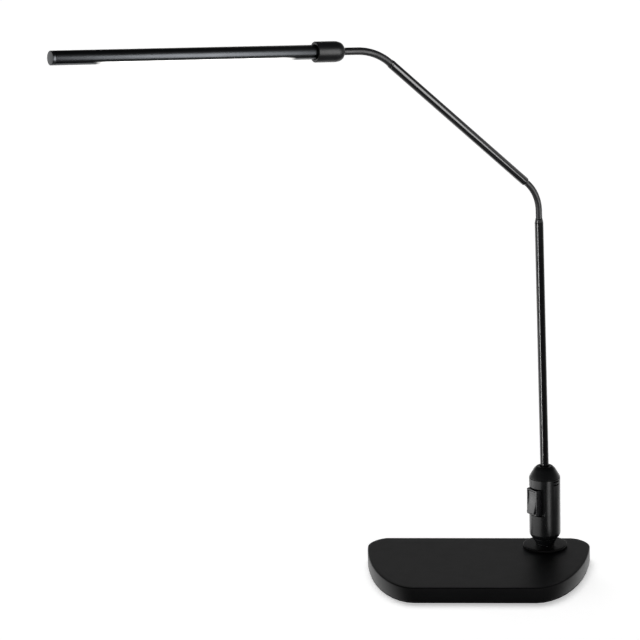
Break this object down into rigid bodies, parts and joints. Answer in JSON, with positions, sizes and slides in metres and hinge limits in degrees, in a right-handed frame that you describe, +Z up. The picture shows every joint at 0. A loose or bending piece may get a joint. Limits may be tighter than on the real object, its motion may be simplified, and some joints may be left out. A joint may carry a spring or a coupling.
{
  "type": "desk lamp",
  "caption": "LED task lamp with a light bar that turns in a collar, a tubular arm with two gooseneck bends, a switch housing that swivels, and a weighted D-shaped base.",
  "frame": {"origin": "underside of the base pad, on the swivel axis of the switch housing", "axes": "+Z up, +X along the base's long side, +Y towards the base's flat back; the arm reaches towards -X and -Y"},
  "size_m": [0.4648, 0.27, 0.5602],
  "materials": {
    "base_shell": "fine-textured satin black",
    "housing_plastic": "satin black",
    "collar_plastic": "satin black",
    "switch_plastic": "semi-gloss dark grey",
    "arm_tube": "glossy black",
    "gooseneck_sleeve": "smooth black",
    "bar_aluminium": "satin black anodised",
    "diffuser": "opal, lit along its middle",
    "steel": "zinc plated",
    "brass": "machined",
    "cast_iron": "as cast",
    "pad_rubber": "foam rubber sheet",
    "circuit_board": "green solder mask",
    "led_board": "white solder mask on a metal core",
    "led": "phosphor"
  },
  "bodies": {
    "base": {"base_top_shell": "base_shell", "base_weight": "cast_iron", "base_bottom_plate": "steel", "base_pad": "pad_rubber", "base_socket": "base_shell", "socket_bush": "brass", "socket_nut": "steel", "socket_washer": "steel", "base_screw_1": "steel", "base_screw_2": "steel", "base_screw_3": "steel", "base_screw_4": "steel"},
    "post": {"neck_cone": "housing_plastic", "swivel_pin": "steel", "housing_switch_half": "housing_plastic", "housing_plain_half": "housing_plastic", "housing_cap": "housing_plastic", "post_set_screw": "steel", "switch_frame": "switch_plastic", "switch_terminal_1": "brass", "switch_terminal_2": "brass", "power_inlet": "housing_plastic", "inlet_pin": "steel", "driver_board": "circuit_board", "driver_coil": "cast_iron", "post_tube": "arm_tube", "post_ferrule": "arm_tube", "lower_gooseneck_sleeve": "gooseneck_sleeve", "lower_gooseneck_core": "steel"},
    "rocker": {"rocker": "switch_plastic"},
    "middle_arm": {"middle_tube": "arm_tube", "middle_lower_ferrule": "arm_tube", "middle_upper_ferrule": "arm_tube", "upper_gooseneck_sleeve": "gooseneck_sleeve", "upper_gooseneck_core": "steel"},
    "collar": {"head_collar": "collar_plastic", "roll_stop_screw": "steel"},
    "light_bar": {"bar_journal": "housing_plastic", "friction_ring": "gooseneck_sleeve", "bar_shell": "bar_aluminium", "diffuser": "diffuser", "led_board": "led_board", "heat_spreader": "steel", "bar_end_cap": "bar_aluminium", "led_01": "led", "led_02": "led", "led_03": "led", "led_04": "led", "led_05": "led", "led_06": "led", "led_07": "led", "led_08": "led", "led_09": "led", "led_10": "led", "led_11": "led", "led_12": "led"}
  },
  "joints": [
    {"name": "base_swivel", "type": "hinge", "parent": "base", "child": "post", "pos_m": [0, 0, 0.02], "axis": [0, 0, 1], "continuous": true},
    {"name": "rocker_press", "type": "hinge", "parent": "post", "child": "rocker", "pos_m": [-0.01072, -0.00932, 0.0613], "axis": [0.6561, -0.7547, 0], "range_deg": [0, 16]},
    {"name": "lower_bend", "type": "hinge", "parent": "post", "child": "middle_arm", "pos_m": [-0.00616, -0.00356, 0.35549], "axis": [-0.5, 0.866, 0], "range_deg": [-50, 45], "deforming": ["lower_gooseneck_sleeve", "lower_gooseneck_core"]},
    {"name": "upper_bend", "type": "hinge", "parent": "middle_arm", "child": "collar", "pos_m": [-0.14636, -0.0845, 0.512], "axis": [-0.5, 0.866, 0], "range_deg": [-60, 40], "deforming": ["upper_gooseneck_sleeve", "upper_gooseneck_core"]},
    {"name": "bar_roll", "type": "hinge", "parent": "collar", "child": "light_bar", "pos_m": [-0.17435, -0.10066, 0.5189], "axis": [-0.8596, -0.4963, 0.1219], "range_deg": [-90, 90]}
  ]
}
